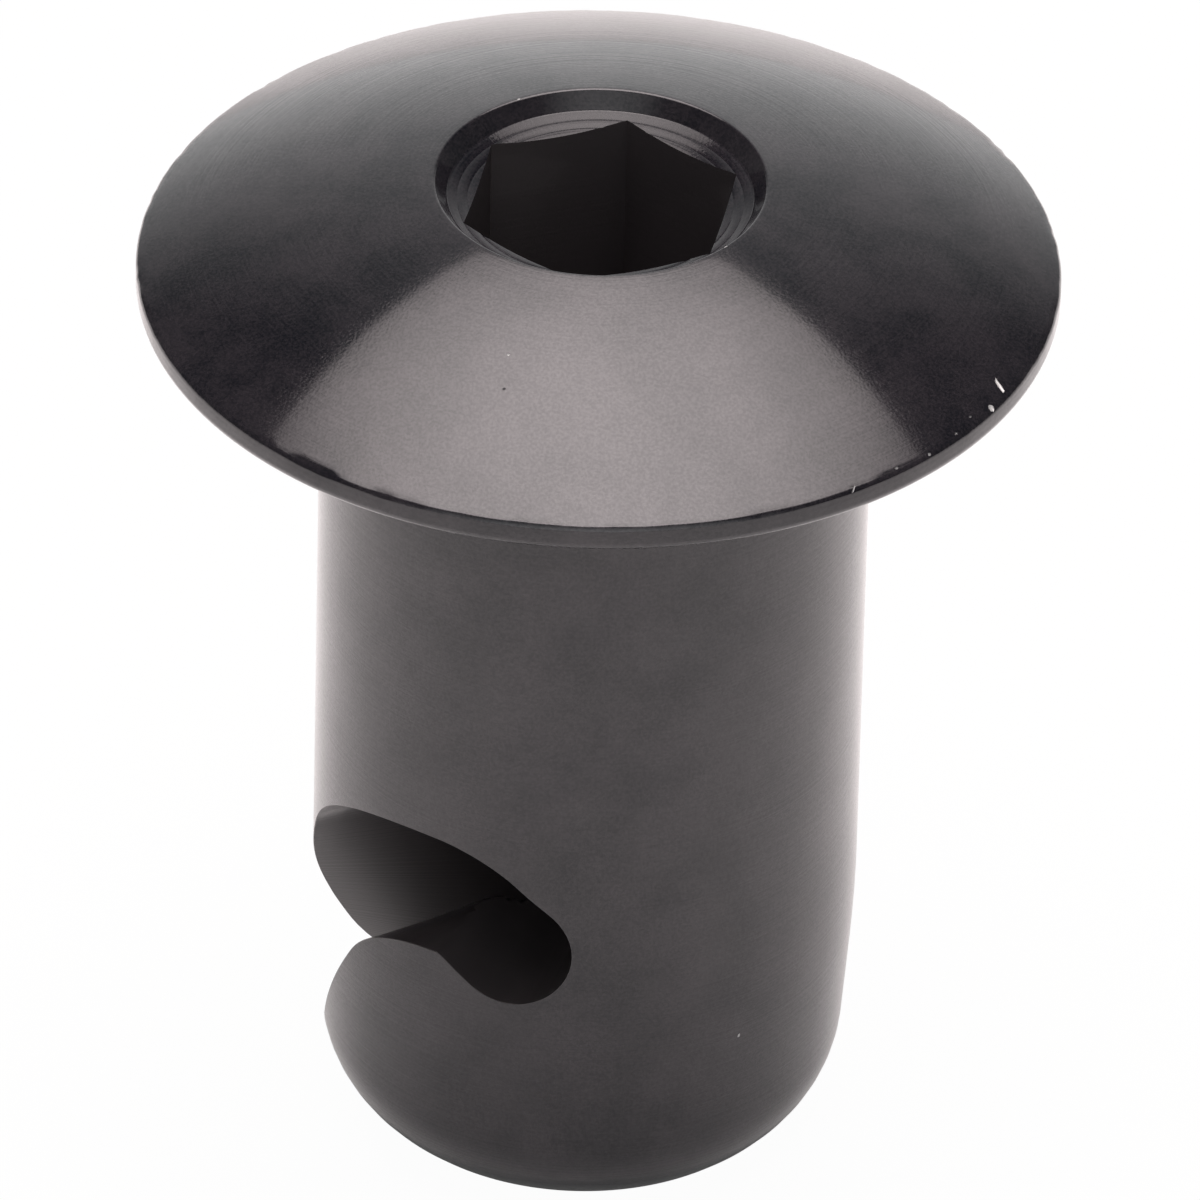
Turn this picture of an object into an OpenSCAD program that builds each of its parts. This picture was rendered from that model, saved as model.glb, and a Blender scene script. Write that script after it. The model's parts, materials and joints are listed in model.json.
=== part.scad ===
// Quarter-turn fastener stud: a button head with a hex socket on a plain shank,
// with a cam slot that climbs from the nose, over a crest and into a detent.
// The origin is the centre of the flat nose end, +Z runs up the axis to the head,
// and the detent faces -Y. Lengths are in millimetres and angles in degrees.

/* [Head] */
// Diameter of the head over its lip
head_d = 18.54; // [15:0.02:24]
// Height of the straight lip round the head
lip_h = 0.57; // [0.4:0.01:1.5]
// Rounding of the lip's lower edge
lip_round = 0.25; // [0.1:0.05:0.35]
// Spherical radius of the dome
dome_r = 19.8; // [14:0.1:40]

/* [Socket] */
// Diameter of the socket's rim on the dome
rim_d = 6.66; // [6.3:0.02:8]
// Diameter of the ring where the rim's bevel meets the shallow cone
ring_d = 6.14; // [5.8:0.02:6.28]
// Depth of that ring below the rim
ring_depth = 0.36; // [0.1:0.02:1]
// Fall of the shallow cone towards the hex, from the horizontal
cone_fall = 17; // [0:1:45]
// Width of the hex across its flats
hex_af = 5; // [3:0.1:5]
// Depth of the hex below the rim
hex_depth = 4.2; // [2:0.1:6]
// Included angle of the drill point below the hex
drill_angle = 118; // [90:1:140]
// Turn of a hex corner away from the detent's direction
hex_turn = 6; // [0:1:59]

/* [Shank] */
// Diameter of the shank
shank_d = 11.11; // [9:0.01:14]
// Length from the head's underside to the nose end
shank_len = 19.9; // [19:0.05:30]
// Fillet between the shank and the head's underside
neck_fillet = 0.25; // [0.1:0.05:0.6]
// Height above the nose end where the nose starts to taper
taper_h = 5.4; // [4:0.1:8]
// Taper of the nose on each side
taper_angle = 4; // [1:0.5:8]
// Corner radius of the nose
nose_r = 2.6; // [1:0.1:3.5]

/* [Cam slot] */
// Grip length from the head's underside to the far side of the detent
grip = 13.9; // [12:0.05:15]
// Width of the slot at the detent
slot_w = 2.66; // [2:0.02:3]
// Width of the slot from the crest to its mouth
mouth_w = 2.8; // [2.6:0.02:3.6]
// Climb of the track out of the detent
climb_angle = 37.5; // [15:0.5:50]
// Length of the straight climb before the crest
climb_len = 0.9; // [0.2:0.02:1.5]
// Radius of the track where the climb turns over the crest
crest_in_r = 1.45; // [1:0.05:4]
// Radius of the track where the crest turns down the ramp
crest_out_r = 4.5; // [2:0.05:6]
// Fall of the ramp towards the nose
ramp_angle = 55; // [40:0.5:65]
// Diameter of the round floor that the slot reaches at the axis
floor_d = 2.9; // [2.6:0.05:3.6]

/* [Hidden] */

$fn = 128;
black_anodised = [0.09, 0.09, 0.10];
// How far a cut runs past the surface that it opens
overcut = 0.6;

head_r = head_d / 2;
shank_r = shank_d / 2;
rim_r = rim_d / 2;
ring_r = ring_d / 2;

lip_top = shank_len + lip_h;
dome_z = lip_top - sqrt(dome_r ^ 2 - head_r ^ 2);
rim_z = dome_z + sqrt(dome_r ^ 2 - rim_r ^ 2);
crown_z = dome_z + dome_r;

ring_z = rim_z - ring_depth;
bevel_flare = (rim_r - ring_r) / ring_depth;
hex_floor_z = rim_z - hex_depth;
drill_h = hex_af / 2 / tan(drill_angle / 2);

// The nose corner is tangent to the flat end and to the taper
taper_touch_z = nose_r * (1 - sin(taper_angle));
taper_touch_r = shank_r - (taper_h - taper_touch_z) * tan(taper_angle);
nose_flat_r = taper_touch_r - nose_r * cos(taper_angle);

// The slot's track is laid out on the unrolled shank: run goes from the detent towards -X
detent_z = shank_len - grip + slot_w / 2;
climb_run = climb_len * cos(climb_angle);
climb_rise = climb_len * sin(climb_angle);
crest_run = climb_run + crest_in_r * sin(climb_angle);
crest_z = detent_z + climb_rise + crest_in_r * (1 - cos(climb_angle));
bend_run = crest_run + crest_out_r * sin(ramp_angle);
bend_z = crest_z - crest_out_r * (1 - cos(ramp_angle));
exit_z = -mouth_w / 2 - overcut;
ramp_len = (bend_z - exit_z) / sin(ramp_angle);

// A track point is its angle round the axis, its height and the cutter's radius there
function track_point(run, z) =
    let (widen = min(run / crest_run, 1))
    [run / shank_r * 180 / PI, z, (slot_w + (mouth_w - slot_w) * widen) / 2];

// The straight climb out of the detent, in n steps
function climb(n) =
    [for (i = [0 : n - 1]) track_point(climb_run * i / n, detent_z + climb_rise * i / n)];

// An arc that is level at the crest, from one slope to another, in n steps
function crest_arc(radius, from, to, n) =
    [for (i = [0 : n - 1]) let (slope = from + (to - from) * i / n)
        track_point(crest_run + radius * sin(slope), crest_z - radius * (1 - cos(slope)))];

// The straight ramp down to the mouth, in n steps
function ramp(n) =
    [for (i = [0 : n]) let (along = ramp_len * i / n)
        track_point(bend_run + along * cos(ramp_angle), bend_z - along * sin(ramp_angle))];

function arc_length(radius, angle) = radius * angle * PI / 180;
function track_points(step) = concat(
    climb(ceil(climb_len / step)),
    crest_arc(crest_in_r, -climb_angle, 0, ceil(arc_length(crest_in_r, climb_angle) / step)),
    crest_arc(crest_out_r, 0, ramp_angle, ceil(arc_length(crest_out_r, ramp_angle) / step)),
    ramp(ceil(ramp_len / step))
);

// The cutter's path is followed finely, and the slot's walls are drawn at wider stations
cutter_path = track_points(0.04);
wall_track = track_points(0.25);
mouth_angle = wall_track[len(wall_track) - 1][0];

// Height and half height of every cut of the radial cutter over a point of the plan
function cuts_over(radius, angle) =
    [for (p = cutter_path)
        let (aside = radius * sin(angle - p[0]))
        if (cos(angle - p[0]) > 0 && abs(aside) <= p[2] + 0.001)
            [p[1], sqrt(max(p[2] ^ 2 - aside ^ 2, 0))]];
function roof(cuts) = max([for (c = cuts) c[0] + c[1]]);
function bed(cuts) = min([for (c = cuts) c[0] - c[1]]);

// A station is a line out from the axis: its angle and its shift to one side.
// They run from the detent's near side, along the track, to the mouth's far side.
round_steps = 8;
function shift(k) = sin(90 * k / round_steps) / 2;
stations = concat(
    [for (k = [round_steps : -1 : 1]) [0, -slot_w * shift(k)]],
    [for (p = wall_track) [p[0], 0]],
    [for (k = [1 : round_steps]) [mouth_angle, mouth_w * shift(k)]]
);

// Distances from the axis along a station, closer together near the axis
radial_steps = 9;
reach_in = floor_d / 8;
reach_out = shank_r + overcut;
function station_distance(j) = reach_in + (reach_out - reach_in) * (j / radial_steps) ^ 1.5;

// The point of the slot's roof or bed that lies on a station at step j
function wall_point(station, j, is_roof) =
    let (
        distance = station_distance(j),
        radius = norm([distance, station[1]]),
        angle = station[0] + atan2(station[1], distance),
        cuts = cuts_over(radius, angle)
    )
    [-radius * sin(angle), -radius * cos(angle), is_roof ? roof(cuts) : bed(cuts)];

// The space that the cutter clears on its way along the track
module cam_sweep() {
    last = len(stations) - 1;
    row = radial_steps + 1;
    roof_points = [for (s = stations) for (j = [0 : radial_steps]) wall_point(s, j, true)];
    // The first and the last station are sharp edges, where bed and roof share their points
    bed_points = [for (i = [1 : last - 1]) for (j = [0 : radial_steps])
        wall_point(stations[i], j, false)];

    function top(i, j) = i * row + j;
    function bottom(i, j) = i == 0 || i == last ? top(i, j) : (last + i) * row + j;
    // Two triangles of a four-sided face, less any that has lost a side
    function quad(a, b, c, d) = [for (f = [[a, b, c], [a, c, d]])
        if (f[0] != f[1] && f[1] != f[2] && f[2] != f[0]) f];

    faces = [
        for (i = [0 : last - 1]) each concat(
            [for (j = [0 : radial_steps - 1]) each concat(
                quad(top(i, j), top(i, j + 1), top(i + 1, j + 1), top(i + 1, j)),
                quad(bottom(i, j), bottom(i + 1, j), bottom(i + 1, j + 1), bottom(i, j + 1))
            )],
            quad(top(i, 0), top(i + 1, 0), bottom(i + 1, 0), bottom(i, 0)),
            quad(top(i, radial_steps), bottom(i, radial_steps),
                bottom(i + 1, radial_steps), top(i + 1, radial_steps))
        )
    ];
    polyhedron(points = concat(roof_points, bed_points), faces = faces, convexity = 6);
}

module cam_slot() {
    cam_sweep();
    translate([0, 0, -overcut]) cylinder(d = floor_d, h = crest_z + slot_w / 2 + overcut);
}

// Half section of the head: a dome over a lip with a rounded lower edge
module head_profile() {
    intersection() {
        translate([0, dome_z]) circle(r = dome_r);
        translate([0, lip_top]) square([head_r, crown_z - lip_top]);
    }
    translate([0, shank_len + lip_round]) square([head_r, lip_h - lip_round]);
    translate([0, shank_len]) square([head_r - lip_round, lip_h]);
    translate([head_r - lip_round, shank_len + lip_round]) circle(r = lip_round);
}

// Half section of the shank with its tapered, round-cornered nose
module shank_profile() {
    polygon([
        [0, 0],
        [nose_flat_r, 0],
        [nose_flat_r, nose_r],
        [taper_touch_r, taper_touch_z],
        [shank_r, taper_h],
        [shank_r, shank_len],
        [0, shank_len]
    ]);
    intersection() {
        translate([nose_flat_r, nose_r]) circle(r = nose_r);
        square([shank_r, shank_len]);
    }
}

// Half section of the fillet under the head
module neck_profile() {
    difference() {
        translate([0, shank_len - neck_fillet]) square([shank_r + neck_fillet, neck_fillet]);
        translate([shank_r + neck_fillet, shank_len - neck_fillet]) circle(r = neck_fillet);
    }
}

// Half section of the round part of the socket: a steep bevel over a shallow cone
module socket_profile() {
    polygon([
        [0, ring_z - ring_r * tan(cone_fall)],
        [ring_r, ring_z],
        [rim_r + bevel_flare * overcut, rim_z + overcut],
        [0, rim_z + overcut]
    ]);
}

module socket() {
    rotate_extrude() socket_profile();
    // The prism's first corner lies on +X, a quarter turn from the detent
    rotate(hex_turn - 90) translate([0, 0, hex_floor_z])
        cylinder(d = hex_af / cos(30), h = hex_depth, $fn = 6);
    translate([0, 0, hex_floor_z - drill_h]) cylinder(r1 = 0, r2 = hex_af / 2, h = drill_h);
}

module stud() {
    color(black_anodised) difference() {
        rotate_extrude() {
            head_profile();
            shank_profile();
            neck_profile();
        }
        socket();
        cam_slot();
    }
}

stud();
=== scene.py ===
"""Models a black anodised quarter-turn fastener stud over its CAD frame, on a white stage."""

import json
import math
import random

import bpy
import numpy as np
from mathutils import Matrix, Quaternion, Vector


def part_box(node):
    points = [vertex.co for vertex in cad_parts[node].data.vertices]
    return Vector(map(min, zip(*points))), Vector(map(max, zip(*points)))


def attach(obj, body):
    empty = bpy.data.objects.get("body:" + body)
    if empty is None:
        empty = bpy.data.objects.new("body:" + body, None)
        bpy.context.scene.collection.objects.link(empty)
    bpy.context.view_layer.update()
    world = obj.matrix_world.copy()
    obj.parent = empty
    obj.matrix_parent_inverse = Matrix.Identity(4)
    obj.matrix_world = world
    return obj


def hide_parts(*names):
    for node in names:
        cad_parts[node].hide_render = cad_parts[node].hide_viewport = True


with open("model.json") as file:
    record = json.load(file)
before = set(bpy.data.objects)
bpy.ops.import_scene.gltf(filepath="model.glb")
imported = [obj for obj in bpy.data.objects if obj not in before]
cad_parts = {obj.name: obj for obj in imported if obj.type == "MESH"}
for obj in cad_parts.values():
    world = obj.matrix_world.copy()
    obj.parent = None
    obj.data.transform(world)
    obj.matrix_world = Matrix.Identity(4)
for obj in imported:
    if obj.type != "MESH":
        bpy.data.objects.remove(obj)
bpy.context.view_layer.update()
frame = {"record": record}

bl_info = {
    "name": "Quarter-turn Fastener Stud",
    "version": (1, 0, 0),
    "blender": (4, 5, 0),
    "location": "3D View > Sidebar > Stud",
    "description": "Models a black anodised quarter-turn fastener stud and its studio stage",
    "category": "Add Mesh",
}

MM = 0.001
MOUNTS = {mount["name"]: mount for mount in frame["record"]["mounts"]}
STUD_LOW, STUD_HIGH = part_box("stud")

# Merging distance, far below the smallest edge of the mesh
TOUCHING = 0.0002 * MM
# How far a cutting tool runs past the surface that it opens
OVERCUT = 0.6 * MM
# Refraction of the dyed oxide and of the seal over it
OXIDE_IOR = 1.43
# Longest step along a straight part of the turned section
RING_SPACING = 0.4 * MM
# Faces over the dome, from the lip to the rim
DOME_RINGS = 24
# How far the drill point reaches into the hex, so that the two cuts share no plane
DRILL_OVERLAP = 0.02 * MM
# Step along the cam track at which the place of the cutter is worked out
CUTTER_STEP = 0.03 * MM
# Distance along the cam track between the lines on which the slot's walls are drawn
STATION_STEP = 0.14 * MM
# Sharpest edge that is still shaded smooth
SMOOTH_EDGE = math.radians(30)
# Waves round the head that add up to the ragged wear of its lip
LIP_WAVES = (23, 37, 59, 83, 97, 113)
# How much deeper the wear is on the worn side, and how wide that side is, in radians
EXTRA_WEAR, WORN_WIDTH = 1.5, 0.25
# Outline of the light panel seen from above, right of and away from the camera, over its height
PANEL_OUTLINE = ((-0.66, -0.3), (0.66, -0.3), (0.66, 0.34),
                 (0.2, 0.88), (-0.2, 0.88), (-0.66, 0.34))

# Nicks that show bare metal: radius, bearing and height of the place, half the length,
# half the width and the depth, in millimetres, the lean of the length from the level,
# and how bare the metal is
NICKS = (
    (9.08, -11.3, 20.72, 0.21, 0.045, 0.03, 62, 0.90),
    (9.25, -15.3, 20.60, 0.09, 0.075, 0.04, 40, 0.65),
    (9.12, -19.0, 20.69, 0.04, 0.025, 0.02, 0, 0.20),
    (9.24, -22.7, 20.62, 0.04, 0.025, 0.02, 0, 0.20),
    (9.26, -28.1, 20.55, 0.04, 0.035, 0.02, 0, 0.35),
    (9.24, -33.4, 20.62, 0.04, 0.025, 0.02, 0, 0.25),
    (9.26, -40.2, 20.52, 0.22, 0.022, 0.015, 50, 0.30),
    (5.71, -91.8, 22.04, 0.035, 0.022, 0.02, 20, 0.70),
    (6.52, -90.2, 21.78, 0.045, 0.035, 0.02, 30, 0.02),
    (5.30, -38.2, 4.70, 0.05, 0.030, 0.02, 70, 0.60),
    (3.33, 136.4, 22.58, 0.05, 0.016, 0.015, 10, 0.60),
    (3.33, -25.4, 22.58, 0.06, 0.018, 0.015, 0, 0.60),
)


def length(name, description, default):
    """A size in metres that a user may change."""
    return bpy.props.FloatProperty(name=name, description=description, default=default,
                                   min=0.0, precision=6, unit="LENGTH")


def angle(name, description, degrees):
    """An angle that a user may change, given in degrees."""
    return bpy.props.FloatProperty(name=name, description=description,
                                   default=math.radians(degrees), unit="ROTATION")


def colour(name, description, default):
    """A linear colour that a user may change."""
    return bpy.props.FloatVectorProperty(name=name, description=description, default=default,
                                         size=3, min=0.0, max=1.0, subtype="COLOR")


def share(name, description, default):
    """A plain number from 0 to 1 that a user may change."""
    return bpy.props.FloatProperty(name=name, description=description, default=default,
                                   min=0.0, max=1.0, subtype="FACTOR")


def amount(name, description, default):
    """A plain number from 0 up that a user may change."""
    return bpy.props.FloatProperty(name=name, description=description, default=default, min=0.0)


class StudSizes(bpy.types.PropertyGroup):
    """Sizes of the stud, from the nose at the origin up to the head."""

    head_radius: length("Head radius", "Radius of the head over its lip",
                        (STUD_HIGH.x - STUD_LOW.x) / 2)
    seat_z: length("Seat height", "Height of the head's underside above the nose end",
                   MOUNTS["bearing_face"]["pos_m"][2])
    rim_z: length("Rim height", "Height of the socket's rim above the nose end", STUD_HIGH.z)
    lip_height: length("Lip height", "Height of the straight lip round the head", 0.57 * MM)
    lip_round: length("Lip rounding", "Rounding of the lip's lower edge", 0.25 * MM)
    lip_break: length("Lip break", "Rounding of the edge between lip and dome", 0.14 * MM)
    lip_wear: length("Lip wear", "Depth of the uneven wear on that edge", 0.015 * MM)
    worn_side: angle("Worn side", "Bearing at which the lip is worn most", -110)
    edge_break: length("Edge break", "Rounding of the socket's edges", 0.08 * MM)
    slot_break: length("Slot break", "Rounding of the slot's edges", 0.015 * MM)
    rim_radius: length("Rim radius", "Radius of the socket's rim on the dome", 3.33 * MM)
    ring_radius: length("Ring radius", "Radius where the rim's bevel meets the cone", 3.07 * MM)
    ring_depth: length("Ring depth", "Depth of that ring below the rim", 0.36 * MM)
    cone_fall: angle("Cone fall", "Fall of the shallow cone towards the hex", 17)
    groove_outer: length("Outer groove", "Radius of the outer tool mark on the cone", 2.87 * MM)
    groove_inner: length("Inner groove", "Radius of the inner tool mark on the cone", 2.66 * MM)
    groove_width: length("Groove width", "Width of the tool marks on the cone", 0.08 * MM)
    groove_depth: length("Groove depth", "Depth of the tool marks on the cone", 0.012 * MM)
    hex_flats: length("Hex width", "Width of the hex across its flats", 5 * MM)
    hex_depth: length("Hex depth", "Depth of the hex below the rim", 4.2 * MM)
    hex_turn: angle("Hex turn", "Turn of a hex corner from the detent's direction", 6)
    drill_angle: angle("Drill angle", "Included angle of the drill point below the hex", 118)
    shank_radius: length("Shank radius", "Radius of the plain shank",
                         MOUNTS["shank"]["dims"]["r_mm"] * MM)
    neck_fillet: length("Neck fillet", "Fillet between the shank and the head", 0.25 * MM)
    taper_height: length("Taper height", "Height where the nose starts to taper", 5.4 * MM)
    taper_angle: angle("Taper angle", "Taper of the nose on each side", 4)
    taper_round: length("Taper rounding", "Rounding where the nose starts to taper", 30 * MM)
    nose_round: length("Nose rounding", "Corner radius of the nose", 2.6 * MM)
    grip: length("Grip", "Length from the seat to the far side of the detent", 13.9 * MM)
    slot_width: length("Slot width", "Width of the slot at the detent", 2.66 * MM)
    mouth_width: length("Mouth width", "Width of the slot from its crest on", 2.8 * MM)
    climb_angle: angle("Climb angle", "Climb of the track out of the detent", 37.5)
    climb_length: length("Climb length", "Length of the straight climb", 0.9 * MM)
    crest_in: length("Inner crest radius", "Bend of the track from the climb to the crest",
                     1.45 * MM)
    crest_out: length("Outer crest radius", "Bend of the track from the crest to the ramp",
                      4.5 * MM)
    ramp_angle: angle("Ramp angle", "Fall of the ramp towards the nose", 55)
    floor_radius: length("Slot floor radius", "Radius of the slot's round floor", 1.45 * MM)
    sides: bpy.props.IntProperty(name="Sides", description="Faces round the turned surfaces",
                                 default=256, min=48)


class StudFinish(bpy.types.PropertyGroup):
    """Colours and gloss of the anodised finish, with painted light on the slot's and socket's
    machined walls.
    """

    anodised: colour("Anodised colour", "Colour of the dyed oxide", (0.0018, 0.0020, 0.0046))
    worn: colour("Worn colour", "Colour where the dye is thinner", (0.0210, 0.0176, 0.0215))
    # Painted light: a lighter colour on the slot's and socket's machined walls, which brightens
    # their hollows
    milled: colour("Milled colour", "Colour of the dye on milled walls", (0.040, 0.035, 0.037))
    bare: colour("Bare colour", "Colour of aluminium in a nick", (0.78, 0.78, 0.77))
    roughness: share("Roughness", "Roughness of the turned surfaces", 0.14)
    milled_roughness: share("Milled roughness", "Roughness that milled walls have on top", 0.18)
    bare_roughness: share("Bare roughness", "Roughness that a nick has on top", 0.4)
    bare_metal: share("Bare metal", "How metallic a nick is", 0.5)
    uneven: share("Uneven gloss", "How far patches and lines change the roughness", 0.05)
    seal: share("Seal roughness", "Roughness of the clear seal over the oxide", 0.065)
    seal_cover: share("Seal cover", "How much of the oxide the seal covers", 0.82)
    seal_patches: share("Seal patches", "How far cloudy patches change that cover", 0.4)
    seal_grain: share("Seal grain", "How far the fine grain changes that cover", 0.24)
    seal_loss: share("Seal loss", "How much of the seal milled walls lack", 0.45)
    turned: share("Turned sheen", "How far turning lines stretch a highlight across them", 0.90)
    line_pitch: length("Line pitch", "Distance between turning lines", 0.085 * MM)
    line_depth: length("Line depth", "Depth of the turning lines", 0.005 * MM)
    mottle_size: length("Mottle size", "Size of the cloudy patches in the dye", 1.6 * MM)
    grain_size: length("Grain size", "Size of the fine grain of the oxide", 0.06 * MM)
    grain_height: share("Grain height", "Height of that grain over the turning lines'", 0.35)


class StageSettings(bpy.types.PropertyGroup):
    """Camera, floor, light panel and room of the studio stage."""

    azimuth: angle("Azimuth", "Camera's turn round the stud from the detent", 16)
    elevation: angle("Elevation", "Camera's height above the horizon", 35.14)
    roll: angle("Roll", "Camera's turn about its own view", 1.392)
    distance: length("Distance", "Camera's distance from its target", 391.46 * MM)
    lens: amount("Lens", "Focal length in millimetres", 579.53)
    target: bpy.props.FloatVectorProperty(
        name="Target", description="Point at the picture's centre",
        default=(0.1797 * MM, 0.0515 * MM, 12.2675 * MM), size=3, precision=6,
        subtype="TRANSLATION", unit="LENGTH")
    floor_radius: length("Floor radius", "Radius of the round floor", 0.5)
    floor_tone: share("Floor tone", "Grey of the floor where light falls on it", 0.82)
    even_white: share("Even white", "Share of plain white in what the camera sees of it", 0.97)
    panel_height: length("Panel height", "Height of the light panel above the floor", 0.7)
    panel_level: amount("Panel level", "Brightness of the panel's middle over white", 5.6)
    panel_side_fall: amount("Side fall", "Loss of brightness towards the panel's sides", 9.8)
    panel_end_fall: amount("End fall", "Loss of brightness towards the panel's ends", 4.8)
    panel_least: amount("Panel's least", "Brightness that the panel keeps everywhere", 1.2)
    panel_colour: colour("Panel colour", "Colour of the light panel", (1.0, 0.915, 0.91))
    horizon: amount("Horizon", "Brightness of the room's walls at eye level", 1.03)
    upward_fall: amount("Upward fall", "Loss of brightness towards the ceiling", 0.8)
    sideways_fall: amount("Sideways fall", "Loss of brightness towards the room's sides", 1.8)
    front_rise: amount("Front rise", "Gain of brightness behind the camera", 0.5)
    dark: amount("Dark sides", "Brightness that the room keeps everywhere", 0.10)


def select_only(obj):
    """Makes one object the only selected one, in object mode."""
    if bpy.context.object and bpy.context.object.mode != "OBJECT":
        bpy.ops.object.mode_set(mode="OBJECT")
    bpy.ops.object.select_all(action="DESELECT")
    obj.select_set(True)
    bpy.context.view_layer.objects.active = obj


def clear_selection():
    """Leaves nothing selected before a primitive is added."""
    bpy.ops.object.select_all(action="DESELECT")


def close_up(obj):
    """Merges what touches and turns every face outwards."""
    select_only(obj)
    bpy.ops.object.mode_set(mode="EDIT")
    bpy.ops.mesh.select_all(action="SELECT")
    bpy.ops.mesh.remove_doubles(threshold=TOUCHING)
    bpy.ops.mesh.dissolve_degenerate(threshold=TOUCHING)
    bpy.ops.mesh.normals_make_consistent(inside=False)
    bpy.ops.object.mode_set(mode="OBJECT")


def mark(obj, name, value):
    """Gives every face of an object the same value of a named attribute."""
    layer = obj.data.attributes.new(name, "FLOAT", "FACE")
    layer.data.foreach_set("value", [value] * len(obj.data.polygons))


def cut(stud, tool, leaves=None):
    """Takes a tool's shape out of the stud, marks the faces that it leaves and removes the tool."""
    if leaves:
        mark(tool, leaves, 1.0)
    select_only(stud)
    cutting = stud.modifiers.new("cut", "BOOLEAN")
    cutting.operation = "DIFFERENCE"
    cutting.solver = "EXACT"
    cutting.object = tool
    faces_before = len(stud.data.polygons)
    bpy.ops.object.modifier_apply(modifier=cutting.name)
    if len(stud.data.polygons) < faces_before / 2:
        raise RuntimeError("The cut by " + tool.name + " has emptied the stud")
    shape = tool.data
    bpy.data.objects.remove(tool)
    bpy.data.meshes.remove(shape)


def place_in_mesh(obj):
    """Puts an object's place, turn and scale into its mesh."""
    select_only(obj)
    bpy.ops.object.transform_apply(location=True, rotation=True, scale=True)


def rounded_section(corners, turn_step=math.radians(7)):
    """The points of a half section whose corners (radius, height, rounding) are rounded off."""
    points = []
    for i, (x, z, rounding) in enumerate(corners):
        corner = Vector((x, z))
        if rounding == 0 or i in (0, len(corners) - 1):
            points.append(corner)
            continue
        back = (Vector(corners[i - 1][:2]) - corner).normalized()
        ahead = (Vector(corners[i + 1][:2]) - corner).normalized()
        opening = back.angle(ahead)
        turn = math.pi - opening
        centre = corner + (back + ahead).normalized() * (rounding / math.sin(opening / 2))
        first = corner + back * (rounding / math.tan(opening / 2)) - centre
        last = corner + ahead * (rounding / math.tan(opening / 2)) - centre
        steps = max(4, math.ceil(turn / turn_step))
        for k in range(steps + 1):
            along = turn * k / steps
            points.append(centre + (first * math.sin(turn - along) + last * math.sin(along))
                          / math.sin(turn))
    return points


def with_rings(points, spacing):
    """The same section with more points along its long straight parts."""
    closer = [points[0]]
    for here, there in zip(points, points[1:]):
        steps = max(1, math.ceil((there - here).length / spacing))
        closer += [here.lerp(there, k / steps) for k in range(1, steps + 1)]
    return closer


def dome_centre(size):
    """Height of the centre, and radius, of the sphere through the rim and the lip's top edge."""
    lip_top = size.seat_z + size.lip_height
    centre = ((size.rim_radius ** 2 + size.rim_z ** 2 - size.head_radius ** 2 - lip_top ** 2)
              / (2 * (size.rim_z - lip_top)))
    return centre, math.hypot(size.head_radius, lip_top - centre)


def turned_section(size):
    """The half section of the turned blank, from the nose over the head to the socket's cone."""
    lip_top = size.seat_z + size.lip_height
    centre, dome_radius = dome_centre(size)
    outer = math.asin(size.head_radius / dome_radius)
    inner = math.asin(size.rim_radius / dome_radius)
    dome = [outer - size.lip_break / dome_radius]
    dome += [outer + (inner - outer) * k / DOME_RINGS for k in range(1, DOME_RINGS)]
    ring_z = size.rim_z - size.ring_depth
    fall = math.tan(size.cone_fall)
    grooves = [(groove + side * size.groove_width / 2, size.groove_depth * (side == 0))
               for groove in (size.groove_outer, size.groove_inner) for side in (1, 0, -1)]
    corners = [
        (0.0, 0.0, 0.0),
        (size.shank_radius - size.taper_height * math.tan(size.taper_angle), 0.0, size.nose_round),
        (size.shank_radius, size.taper_height, size.taper_round),
        (size.shank_radius, size.seat_z, size.neck_fillet),
        (size.head_radius, size.seat_z, size.lip_round),
        (size.head_radius, lip_top, size.lip_break),
        *[(dome_radius * math.sin(a), centre + dome_radius * math.cos(a), 0.0) for a in dome],
        (size.rim_radius, size.rim_z, size.edge_break),
        (size.ring_radius, ring_z, size.edge_break),
        *[(r, ring_z - (size.ring_radius - r) * fall - depth, 0.0) for r, depth in grooves],
        (0.0, ring_z - size.ring_radius * fall, 0.0),
    ]
    return with_rings(rounded_section(corners), RING_SPACING)


def turn_blank(size):
    """Draws the half section point by point and spins it into the turned blank."""
    section = turned_section(size)
    clear_selection()
    bpy.ops.mesh.primitive_plane_add(size=MM)
    blank = bpy.context.object
    blank.name = "dressed_stud"
    bpy.ops.object.mode_set(mode="EDIT")
    bpy.ops.mesh.select_all(action="SELECT")
    bpy.ops.mesh.merge(type="CENTER")
    for here, there in zip(section, section[1:]):
        step = there - here
        bpy.ops.mesh.extrude_vertices_move(
            TRANSFORM_OT_translate={"value": (step.x, 0.0, step.y)})
    bpy.ops.mesh.select_all(action="SELECT")
    bpy.ops.mesh.spin(steps=size.sides, angle=2 * math.pi, center=(0, 0, 0), axis=(0, 0, 1))
    bpy.ops.object.mode_set(mode="OBJECT")
    close_up(blank)
    wear_lip(blank, size)
    mark(blank, "milled", 0.0)
    mark(blank, "bare", 0.0)
    leave_unsealed(blank, size)
    return blank


def leave_unsealed(blank, size):
    """Marks the cone of the socket, which the clear seal doesn't cover."""
    mark(blank, "unsealed", 0.0)
    cone_z = size.rim_z - size.ring_depth
    for face, layer in zip(blank.data.polygons, blank.data.attributes["unsealed"].data):
        is_cone = math.hypot(face.center.x, face.center.y) < size.ring_radius
        layer.value = is_cone and size.seat_z < face.center.z < cone_z


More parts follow.
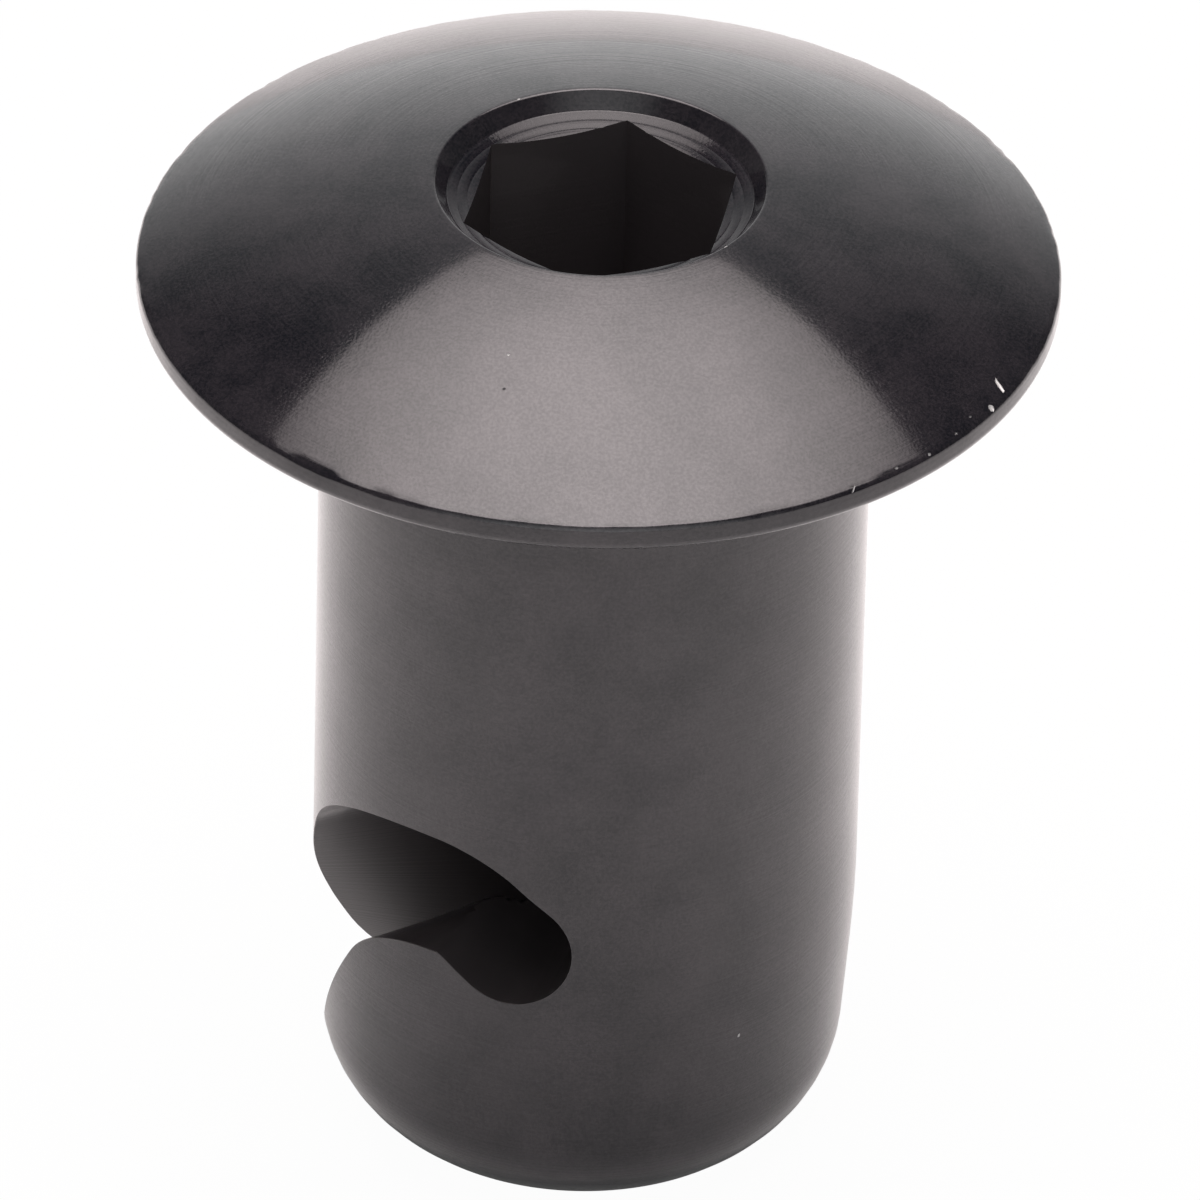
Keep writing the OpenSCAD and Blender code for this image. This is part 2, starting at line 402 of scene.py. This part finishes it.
def wear_lip(blank, size):
    """Rubs the edge between the lip and the dome unevenly, most on its worn side."""
    lip_top = size.seat_z + size.lip_height
    reach = size.lip_break
    rough = random.Random(11)
    waves = [(count, rough.uniform(0, 2 * math.pi)) for count in LIP_WAVES]
    for vertex in blank.data.vertices:
        radius = math.hypot(vertex.co.x, vertex.co.y)
        near = 1 - math.hypot(radius - size.head_radius, vertex.co.z - lip_top) / reach
        if near <= 0:
            continue
        bearing = math.atan2(vertex.co.y, vertex.co.x)
        ragged = sum(math.sin(count * bearing + start) for count, start in waves)
        ragged /= len(waves) / 2
        knocked = 1 + EXTRA_WEAR * math.exp(-((bearing - size.worn_side) / WORN_WIDTH) ** 2)
        rubbed = size.lip_wear * near ** 0.5 * max(ragged, 0.0) * knocked
        vertex.co *= Vector((1 - rubbed / radius, 1 - rubbed / radius, 1 - rubbed / vertex.co.z))
    blank.data.update()


def broach_socket(stud, size):
    """Broaches the hex of the socket and drills the point below it."""
    floor_z = size.rim_z - size.hex_depth
    drill_radius = size.hex_flats / 2
    point = drill_radius / math.tan(size.drill_angle / 2)
    clear_selection()
    bpy.ops.mesh.primitive_cylinder_add(
        vertices=6, radius=size.hex_flats / math.sqrt(3), depth=size.hex_depth,
        location=(0, 0, floor_z + size.hex_depth / 2), rotation=(0, 0, size.hex_turn))
    broach = bpy.context.object
    place_in_mesh(broach)
    cut(stud, broach, "milled")
    clear_selection()
    bpy.ops.mesh.primitive_cone_add(
        vertices=96, radius1=0.0, radius2=drill_radius * (1 - DRILL_OVERLAP / point), depth=point,
        location=(0, 0, floor_z - point / 2 + DRILL_OVERLAP))
    drill = bpy.context.object
    place_in_mesh(drill)
    close_up(drill)
    cut(stud, drill, "milled")


def shank_radius_at(size):
    """The shank's outside, over its taper and its nose corner, as a radius for any height."""
    outside = [point for point in turned_section(size)[1:]
               if point.y < size.seat_z - size.neck_fillet and point.x <= size.shank_radius]
    heights, radii = [point.y for point in outside], [point.x for point in outside]
    return lambda z: float(np.interp(z, heights, radii))


class CamTrack:
    """The path of the radial cutter that mills the cam slot, from the detent to the mouth."""

    def __init__(self, size, step):
        climb, fall = size.climb_angle, size.ramp_angle
        detent_z = size.seat_z - size.grip + size.slot_width / 2
        climb_run = size.climb_length * math.cos(climb)
        climb_rise = size.climb_length * math.sin(climb)
        crest_run = climb_run + size.crest_in * math.sin(climb)
        self.crest_z = detent_z + climb_rise + size.crest_in * (1 - math.cos(climb))
        bend_run = crest_run + size.crest_out * math.sin(fall)
        bend_z = self.crest_z - size.crest_out * (1 - math.cos(fall))
        exit_z = -size.mouth_width / 2 - OVERCUT
        to_crest = size.climb_length + size.crest_in * climb
        to_ramp = to_crest + size.crest_out * fall
        whole = to_ramp + (bend_z - exit_z) / math.sin(fall)
        along = np.linspace(0, whole, math.ceil(whole / step) + 1)

        parts = [along < size.climb_length, along < to_crest, along < to_ramp]
        rising = (along - to_crest) / size.crest_in
        falling = (along - to_crest) / size.crest_out
        straight = along - to_ramp
        run = np.select(parts, [along * math.cos(climb),
                                crest_run + size.crest_in * np.sin(rising),
                                crest_run + size.crest_out * np.sin(falling)],
                        bend_run + straight * math.cos(fall))
        self.z = np.select(parts, [detent_z + along * math.sin(climb),
                                   self.crest_z - size.crest_in * (1 - np.cos(rising)),
                                   self.crest_z - size.crest_out * (1 - np.cos(falling))],
                           bend_z - straight * math.sin(fall))
        widened = np.clip(run / crest_run, 0, 1)
        self.angle = run / size.shank_radius
        self.half_width = (size.slot_width + (size.mouth_width - size.slot_width) * widened) / 2

    def heights(self, radius, angle, flare):
        """Bed and roof of the milled space over a point of the plan."""
        aside = radius * np.sin(angle - self.angle)
        left = (self.half_width + flare) ** 2 - aside ** 2
        over = (np.cos(angle - self.angle) > 0) & (left >= -TOUCHING ** 2)
        half = np.sqrt(np.maximum(left[over], 0))
        return (self.z[over] - half).min(), (self.z[over] + half).max()


def slot_stations(track):
    """Lines out from the axis across the slot: angle, height, half width and share of it aside."""
    steps = 12
    first = (track.angle[0], track.z[0], track.half_width[0])
    last = (track.angle[-1], track.z[-1], track.half_width[-1])
    sides = [math.sin(math.pi / 2 * k / steps) for k in range(1, steps + 1)]
    return ([(*first, -side) for side in reversed(sides)]
            + [(a, z, w, 0.0) for a, z, w in zip(track.angle, track.z, track.half_width)]
            + [(*last, side) for side in sides])


def slot_wall(size, track, stations, is_roof):
    """Rows of points, one for each station, on the slot's roof or bed."""
    steps = 22
    start = size.floor_radius / 4
    radius_at = shank_radius_at(size)
    broken = size.slot_break
    points = []
    for turn, z, half_width, aside in stations:
        surface = radius_at(z)
        edge_z = track.heights(math.hypot(surface, half_width * aside),
                               turn + math.atan2(half_width * aside, surface), 0.0)[is_roof]
        surface = radius_at(edge_z)
        inner = surface - broken
        # The points lie closer together towards the axis, where the walls twist most
        out = [start + (inner - start) * (k / steps) ** 1.3 for k in range(steps + 1)]
        for distance in out + [surface, size.shank_radius + OVERCUT]:
            flare = min(max(distance - inner, 0.0), broken)
            shift = (half_width + flare) * aside
            radius, bearing = math.hypot(distance, shift), turn + math.atan2(shift, distance)
            height = track.heights(radius, bearing, flare)[is_roof]
            points.append((-radius * math.sin(bearing), -radius * math.cos(bearing), height))
    return points


def mill_cam_slot(stud, size):
    """Mills the slot that the radial cutter clears along the cam track, down to its round floor."""
    track = CamTrack(size, CUTTER_STEP)
    top = track.crest_z + size.slot_width / 2
    depth = top + OVERCUT
    clear_selection()
    bpy.ops.mesh.primitive_cylinder_add(vertices=120, radius=size.floor_radius, depth=depth,
                                        location=(0, 0, top - depth / 2))
    bore = bpy.context.object
    place_in_mesh(bore)
    cut(stud, bore, "milled")

    stations = slot_stations(CamTrack(size, STATION_STEP))
    roof = slot_wall(size, track, stations, True)
    bed = slot_wall(size, track, stations, False)
    across = len(roof) // len(stations)

    clear_selection()
    bpy.ops.mesh.primitive_grid_add(x_subdivisions=across - 1, y_subdivisions=len(stations) - 1,
                                    size=MM)
    sweep = bpy.context.object
    thickness = sweep.modifiers.new("thickness", "SOLIDIFY")
    thickness.thickness = MM
    bpy.ops.object.modifier_apply(modifier=thickness.name)
    sweep.data.vertices.foreach_set("co", np.array(roof + bed, np.float32).ravel())
    sweep.data.update()
    close_up(sweep)
    cut(stud, sweep, "milled")


def chip_finish(stud):
    """Knocks the small nicks into the finish."""
    rough = random.Random(5)
    chips = []
    for radius, bearing, height, along, across, depth, lean, bared in NICKS:
        turn = math.radians(bearing)
        place = Vector((radius * math.cos(turn), radius * math.sin(turn), height)) * MM
        _, place, normal, _ = stud.closest_point_on_mesh(place)
        level = Vector((0, 0, 1)).cross(normal).normalized()
        long = Quaternion(normal, math.radians(lean)) @ level
        clear_selection()
        bpy.ops.mesh.primitive_ico_sphere_add(subdivisions=2, radius=1.0)
        chip = bpy.context.object
        for vertex in chip.data.vertices:
            vertex.co *= rough.uniform(0.75, 1.15)
        sides = Matrix((long * along * MM, normal.cross(long) * across * MM, normal * depth * MM))
        chip.matrix_world = Matrix.Translation(place) @ sides.transposed().to_4x4()
        place_in_mesh(chip)
        mark(chip, "bare", bared)
        chips.append(chip)
    for chip in chips:
        chip.select_set(True)
    bpy.ops.object.join()
    cut(stud, bpy.context.object)
    close_up(stud)


class STUD_OT_model(bpy.types.Operator):
    """Turns, broaches and mills the stud and gives it its anodised finish"""

    bl_idname = "mesh.fastener_stud"
    bl_label = "Model Stud"

    def execute(self, context):
        size = context.scene.stud_sizes
        stud = turn_blank(size)
        broach_socket(stud, size)
        mill_cam_slot(stud, size)
        chip_finish(stud)
        select_only(stud)
        bpy.ops.object.shade_smooth_by_angle(angle=SMOOTH_EDGE)
        stud.data.materials.clear()
        stud.data.materials.append(anodised_black(context.scene.stud_finish))
        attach(stud, "root")
        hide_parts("stud")
        return {"FINISHED"}


class Value:
    """A node's output socket, on which arithmetic adds Math nodes."""

    def __init__(self, shader, socket):
        self.shader, self.socket = shader, socket

    def math(self, operation, *others):
        values = {i: other for i, other in enumerate((self, *others))}
        return self.shader.node("ShaderNodeMath", {"operation": operation}, values)[0]

    def __add__(self, other):
        return self.math("ADD", other)

    def __sub__(self, other):
        return self.math("SUBTRACT", other)

    def __mul__(self, other):
        return self.math("MULTIPLY", other)

    def __pow__(self, other):
        return self.math("POWER", other)

    __radd__ = __add__
    __rmul__ = __mul__

    def __rsub__(self, other):
        return self.shader.node("ShaderNodeMath", {"operation": "SUBTRACT"},
                                {0: other, 1: self})[0]

    def step(self, start, end):
        """0 below start and 1 above end, smooth between them."""
        return self.shader.node("ShaderNodeMapRange", {"interpolation_type": "SMOOTHSTEP"},
                                {"Value": self, "From Min": start, "From Max": end})[0]


class Shader:
    """A node tree under construction."""

    def __init__(self, tree):
        self.tree = tree
        tree.nodes.clear()

    def node(self, kind, settings=None, inputs=None):
        """Adds a node with its settings and inputs, and returns its outputs by number or name."""
        made = self.tree.nodes.new(kind)
        for name, value in (settings or {}).items():
            setattr(made, name, value)
        for key, value in (inputs or {}).items():
            if isinstance(value, Value):
                self.tree.links.new(value.socket, made.inputs[key])
            else:
                made.inputs[key].default_value = value
        return Outputs(self, made)

    def noise(self, dimensions, vector, grain, detail):
        """Noise with patches of about a given size."""
        return self.node("ShaderNodeTexNoise", {"noise_dimensions": dimensions},
                         {"Vector": vector, "Scale": 1 / grain, "Detail": detail,
                          "Roughness": 0.6})["Fac"]

    def mix(self, factor, first, second):
        """Mixes two colours, each one given as three numbers or made by nodes."""
        first, second = ((*c, 1) if not isinstance(c, Value) else c for c in (first, second))
        return self.node("ShaderNodeMix", {"data_type": "RGBA"},
                         {"Factor": factor, 6: first, 7: second})[2]


class Outputs:
    """The outputs of a node, each wrapped as a Value."""

    def __init__(self, shader, made):
        self.shader, self.made = shader, made

    def __getitem__(self, key):
        return Value(self.shader, self.made.outputs[key])


def anodised_black(finish):
    """Black dyed oxide under a clear seal, over turned, milled and broached aluminium, with painted
    light that lightens the machined walls of the slot and socket.
    """
    material = bpy.data.materials.new("anodised_black")
    material.use_nodes = True
    shader = Shader(material.node_tree)
    place = shader.node("ShaderNodeTexCoord")["Object"]
    axes = shader.node("ShaderNodeSeparateXYZ", inputs={"Vector": place})
    x, y, z = axes["X"], axes["Y"], axes["Z"]
    # Mask of the machined walls, which also places the painted light in the slot and socket
    milled = shader.node("ShaderNodeAttribute", {"attribute_name": "milled"})["Fac"]
    bare = shader.node("ShaderNodeAttribute", {"attribute_name": "bare"})["Fac"]
    unsealed = shader.node("ShaderNodeAttribute", {"attribute_name": "unsealed"})["Fac"]

    # Tool marks run round the axis on turned faces and level on milled ones
    across = (x * x + y * y) ** 0.5 * (1 - milled)
    turning = shader.node("ShaderNodeCombineXYZ", inputs={"X": across, "Y": z})[0]
    lines = shader.noise("2D", turning, finish.line_pitch, 2.0)
    mottle = shader.noise("3D", place, finish.mottle_size, 5.0)
    grain = shader.noise("3D", place, finish.grain_size, 1.0)
    speckle = grain.step(0.3, 0.7)

    dyed = shader.mix(0.5 * mottle.step(0.35, 0.65) + 0.5 * speckle, finish.anodised, finish.worn)
    # Painted light: the slot's and socket's machined walls get a lighter colour that brightens
    # their hollows, so from here the colour holds painted light as well as dye
    dyed = shader.mix(milled, dyed, finish.milled)
    oxide_roughness = (finish.roughness + finish.uneven * (mottle - 0.5)
                       + finish.uneven * (lines - 0.5) + finish.milled_roughness * milled)
    # The seal is thinner in patches and on milled walls
    cover = (finish.seal_cover + finish.seal_grain * (speckle - 0.5)
             + finish.seal_patches * (mottle - 0.5))
    sealed = cover * (1 - finish.seal_loss * milled)
    normal = shader.node("ShaderNodeBump", inputs={
        "Height": lines + finish.grain_height * grain, "Distance": finish.line_depth})[0]
    surface = shader.node("ShaderNodeBsdfPrincipled", inputs={
        "Base Color": shader.mix(bare, dyed, finish.bare), "Metallic": finish.bare_metal * bare,
        "Roughness": oxide_roughness + finish.bare_roughness * bare,
        "Normal": normal, "IOR": OXIDE_IOR,
        "Anisotropic": finish.turned, "Anisotropic Rotation": 0.25,
        "Coat Weight": sealed * (1 - bare) * (1 - unsealed), "Coat Roughness": finish.seal,
        "Coat IOR": OXIDE_IOR})[0]
    shader.node("ShaderNodeOutputMaterial", inputs={"Surface": surface})
    return material


def floor_white(stage):
    """Pale floor, nearly even white to the camera with a faint shadow, and clear from below."""
    material = bpy.data.materials.new("floor_white")
    material.use_nodes = True
    shader = Shader(material.node_tree)
    path = shader.node("ShaderNodeLightPath")
    even = stage.even_white * path["Is Camera Ray"]
    tone = stage.floor_tone
    lit = shader.node("ShaderNodeBsdfDiffuse", inputs={"Color": (tone, tone, tone, 1)})[0]
    white = shader.node("ShaderNodeEmission", inputs={"Color": (1, 1, 1, 1), "Strength": 1.0})[0]
    shown = shader.node("ShaderNodeMixShader", inputs={"Fac": even, 1: lit, 2: white})[0]
    clear = shader.node("ShaderNodeBsdfTransparent")[0]
    below = shader.node("ShaderNodeNewGeometry")["Backfacing"]
    sided = shader.node("ShaderNodeMixShader", inputs={"Fac": below, 1: shown, 2: clear})[0]
    shader.node("ShaderNodeOutputMaterial", inputs={"Surface": sided})
    return material


def panel_glow(stage):
    """Light of the overhead panel, which fades from its middle towards its sides and ends."""
    material = bpy.data.materials.new("panel_glow")
    material.use_nodes = True
    shader = Shader(material.node_tree)
    place = shader.node("ShaderNodeTexCoord")["Object"]
    axes = shader.node("ShaderNodeSeparateXYZ", inputs={"Vector": place})
    right, away = axes["X"], axes["Y"]
    bright = (stage.panel_level - stage.panel_side_fall * right * right
              - stage.panel_end_fall * away * away)
    glow = shader.node("ShaderNodeEmission", inputs={
        "Color": (*stage.panel_colour, 1),
        "Strength": bright.math("MAXIMUM", stage.panel_least)})[0]
    shader.node("ShaderNodeOutputMaterial", inputs={"Surface": glow})
    return material


def hang_panel(stage):
    """Hangs a panel over the stud, straight at the camera's side and narrower at the far end."""
    clear_selection()
    bpy.ops.mesh.primitive_circle_add(vertices=len(PANEL_OUTLINE), fill_type="NGON",
                                      location=(0, 0, stage.panel_height),
                                      rotation=(0, 0, stage.azimuth))
    panel = bpy.context.object
    panel.name = "light_panel"
    panel.scale = [stage.panel_height] * 3
    for vertex, (right, away) in zip(panel.data.vertices, PANEL_OUTLINE):
        vertex.co = (right, away, 0.0)
    panel.data.materials.append(panel_glow(stage))
    panel.visible_camera = False


def place_camera(stage):
    """Puts the camera where the photograph was taken from."""
    a, e = stage.azimuth, stage.elevation
    back = Vector((math.sin(a) * math.cos(e), -math.cos(a) * math.cos(e), math.sin(e)))
    camera = bpy.data.objects.new("camera", bpy.data.cameras.new("camera"))
    bpy.context.scene.collection.objects.link(camera)
    camera.data.sensor_width = 36.0
    camera.data.lens = stage.lens
    camera.data.clip_start, camera.data.clip_end = 0.01, 20.0
    camera.location = Vector(stage.target) + back * stage.distance
    camera.rotation_mode = "QUATERNION"
    facing = (-back).to_track_quat("-Z", "Y")
    camera.rotation_quaternion = facing @ Quaternion((0, 0, 1), stage.roll)
    bpy.context.scene.camera = camera


def light_world(stage):
    """White to the camera, and to the rest a room that is darkest above and at the stud's sides."""
    world = bpy.data.worlds.new("studio")
    bpy.context.scene.world = world
    world.use_nodes = True
    shader = Shader(world.node_tree)
    towards = shader.node("ShaderNodeTexCoord")["Generated"]
    axes = shader.node("ShaderNodeSeparateXYZ", inputs={"Vector": towards})
    aside = axes["X"] * math.cos(stage.azimuth) + axes["Y"] * math.sin(stage.azimuth)
    front = axes["X"] * math.sin(stage.azimuth) - axes["Y"] * math.cos(stage.azimuth)
    front = front.math("MAXIMUM", 0.0)
    upwards = axes["Z"].math("MAXIMUM", 0.0)
    room = stage.horizon - stage.upward_fall * upwards - stage.sideways_fall * aside * aside
    room = room + stage.front_rise * front * front
    room = room.math("MAXIMUM", stage.dark)
    camera = shader.node("ShaderNodeLightPath")["Is Camera Ray"]
    strength = room * (1 - camera) + camera
    glow = shader.node("ShaderNodeBackground", inputs={
        "Color": (1, 1, 1, 1), "Strength": strength})[0]
    shader.node("ShaderNodeOutputWorld", inputs={"Surface": glow})


class STUD_OT_stage(bpy.types.Operator):
    """Sets up the floor, light panel, room and camera"""

    bl_idname = "scene.fastener_stud_stage"
    bl_label = "Set Up Stage"

    def execute(self, context):
        stage = context.scene.stud_stage
        clear_selection()
        bpy.ops.mesh.primitive_circle_add(vertices=96, radius=stage.floor_radius, fill_type="NGON")
        floor = bpy.context.object
        floor.name = "floor"
        floor.data.materials.append(floor_white(stage))
        hang_panel(stage)
        light_world(stage)
        place_camera(stage)
        context.scene.view_settings.view_transform = "Standard"
        return {"FINISHED"}


class STUD_PT_sidebar(bpy.types.Panel):
    """Sizes and finish of the stud, its stage, and the tools that build them"""

    bl_label = "Fastener Stud"
    bl_idname = "STUD_PT_sidebar"
    bl_space_type = "VIEW_3D"
    bl_region_type = "UI"
    bl_category = "Stud"

    def draw(self, context):
        layout = self.layout
        scene = context.scene
        for group in (scene.stud_sizes, scene.stud_finish, scene.stud_stage):
            column = layout.column()
            for name in group.bl_rna.properties.keys():
                if name not in ("rna_type", "name"):
                    column.prop(group, name)
        layout.operator(STUD_OT_model.bl_idname)
        layout.operator(STUD_OT_stage.bl_idname)


CLASSES = (StudSizes, StudFinish, StageSettings, STUD_OT_model, STUD_OT_stage, STUD_PT_sidebar)


def register():
    for cls in CLASSES:
        bpy.utils.register_class(cls)
    bpy.types.Scene.stud_sizes = bpy.props.PointerProperty(type=StudSizes)
    bpy.types.Scene.stud_finish = bpy.props.PointerProperty(type=StudFinish)
    bpy.types.Scene.stud_stage = bpy.props.PointerProperty(type=StageSettings)


def unregister():
    del bpy.types.Scene.stud_stage, bpy.types.Scene.stud_finish, bpy.types.Scene.stud_sizes
    for cls in reversed(CLASSES):
        bpy.utils.unregister_class(cls)


def main():
    register()
    bpy.ops.mesh.fastener_stud()
    bpy.ops.scene.fastener_stud_stage()


if __name__ == "__main__":
    main()
